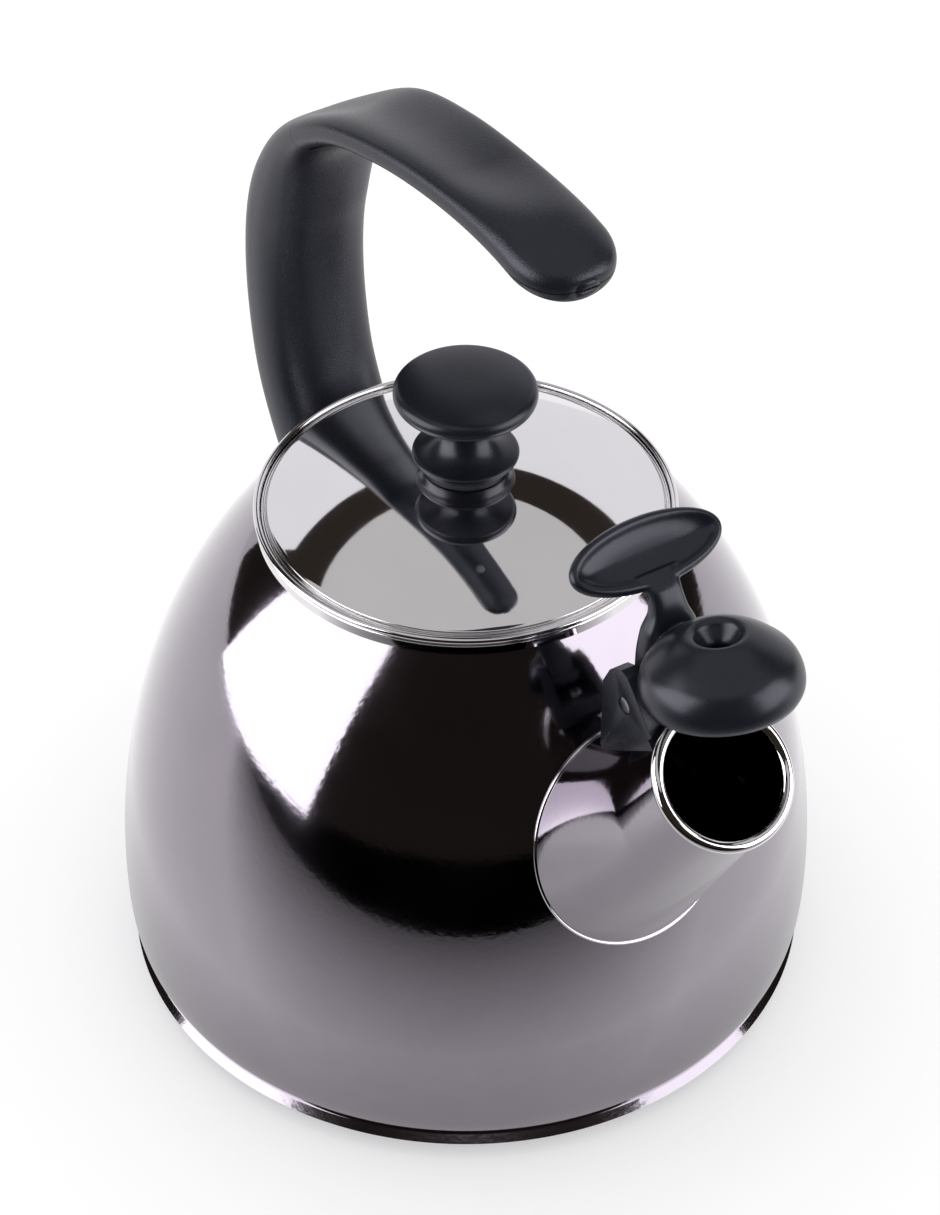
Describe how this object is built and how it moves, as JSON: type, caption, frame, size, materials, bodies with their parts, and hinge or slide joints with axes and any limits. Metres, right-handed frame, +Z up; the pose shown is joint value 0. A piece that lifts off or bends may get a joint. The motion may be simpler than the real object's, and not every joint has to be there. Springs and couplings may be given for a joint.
{
  "type": "stovetop whistling kettle",
  "caption": "Round-bellied stovetop kettle with a lift-off lid, a one-post hook handle and a flip-up whistle cap on a short flared spout.",
  "frame": {"origin": "centre of the flat face that the kettle stands on, on the axis of its round body", "axes": "+Z up along the body's axis; +X towards the spout's mouth; the handle's post is at -X; the whistle's pin lies along Y"},
  "size_m": [0.2396, 0.2, 0.2738],
  "materials": {
    "gunmetal": "mirror-bright dark grey metallic enamel on steel",
    "polished_steel": "mirror-polished stainless steel",
    "satin_steel": "plain stainless steel",
    "aluminium": "ground flat",
    "brass": "turned",
    "black_nylon": "blue-black plastic with a fine grain"
  },
  "bodies": {
    "kettle": {"body_shell": "gunmetal", "base_pan": "gunmetal", "base_plate": "aluminium", "opening_ring": "polished_steel", "spout_tube": "gunmetal", "spout_rim": "polished_steel", "handle_frame": "black_nylon", "grip_cover": "black_nylon", "handle_core": "satin_steel", "handle_bracket": "satin_steel", "handle_screw": "satin_steel", "grip_screw_1": "satin_steel", "grip_screw_2": "satin_steel", "whistle_bracket": "black_nylon", "spout_boss": "satin_steel", "bracket_screw": "satin_steel", "pivot_pin": "satin_steel"},
    "lid": {"lid_shell": "polished_steel", "lid_collar": "satin_steel", "lid_knob": "black_nylon", "knob_insert": "brass", "knob_washer": "satin_steel", "knob_screw": "satin_steel"},
    "whistle": {"whistle_cap": "black_nylon", "whistle_base": "black_nylon", "whistle_disc_upper": "satin_steel", "whistle_disc_lower": "satin_steel"}
  },
  "joints": [
    {"name": "lid_lift", "type": "slide", "parent": "kettle", "child": "lid", "axis": [0, 0, 1], "range_m": [0, 0.045]},
    {"name": "whistle_flip", "type": "hinge", "parent": "kettle", "child": "whistle", "pos_m": [0.09617, 0, 0.16366], "axis": [0, -1, 0], "range_deg": [-52, 0]}
  ]
}
